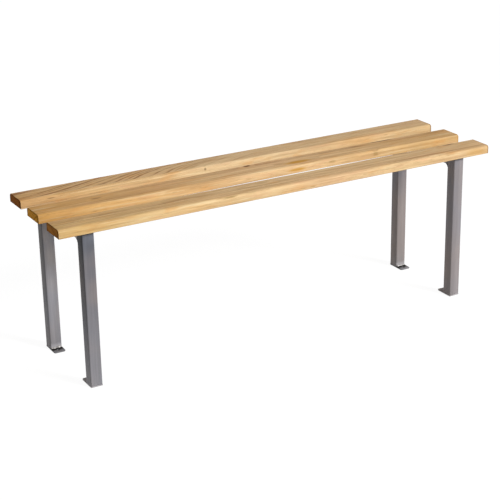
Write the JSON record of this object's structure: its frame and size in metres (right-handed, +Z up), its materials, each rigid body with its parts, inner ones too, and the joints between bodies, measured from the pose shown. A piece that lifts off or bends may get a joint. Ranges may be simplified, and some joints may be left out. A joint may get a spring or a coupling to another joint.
{
  "type": "slatted bench",
  "caption": "Backless bench of long hardwood slats on welded square-tube end frames, with foot plates that bolt down to the floor.",
  "frame": {"origin": "on the floor under the middle of the seat", "axes": "+X along the slats, to the right seen from the front; the front faces -Y; +Z up"},
  "size_m": [1.2, 0.308, 0.411],
  "materials": {
    "ash": "clear satin lacquer over planed ash",
    "frame_steel": "satin silver-grey powder coat",
    "weld_bead": "coated weld bead, satin grey",
    "screw_steel": "bright zinc plate"
  },
  "bodies": {
    "root": {"front_slat": "ash", "middle_slat": "ash", "rear_slat": "ash", "left_front_leg": "frame_steel", "left_rear_leg": "frame_steel", "right_front_leg": "frame_steel", "right_rear_leg": "frame_steel", "left_rail": "frame_steel", "right_rail": "frame_steel", "left_front_foot": "frame_steel", "left_rear_foot": "frame_steel", "right_front_foot": "frame_steel", "right_rear_foot": "frame_steel", "left_front_foot_weld": "weld_bead", "left_rear_foot_weld": "weld_bead", "right_front_foot_weld": "weld_bead", "right_rear_foot_weld": "weld_bead", "left_front_rail_weld": "weld_bead", "left_rear_rail_weld": "weld_bead", "right_front_rail_weld": "weld_bead", "right_rear_rail_weld": "weld_bead", "left_slat_screws": "screw_steel", "right_slat_screws": "screw_steel"}
  },
  "joints": []
}
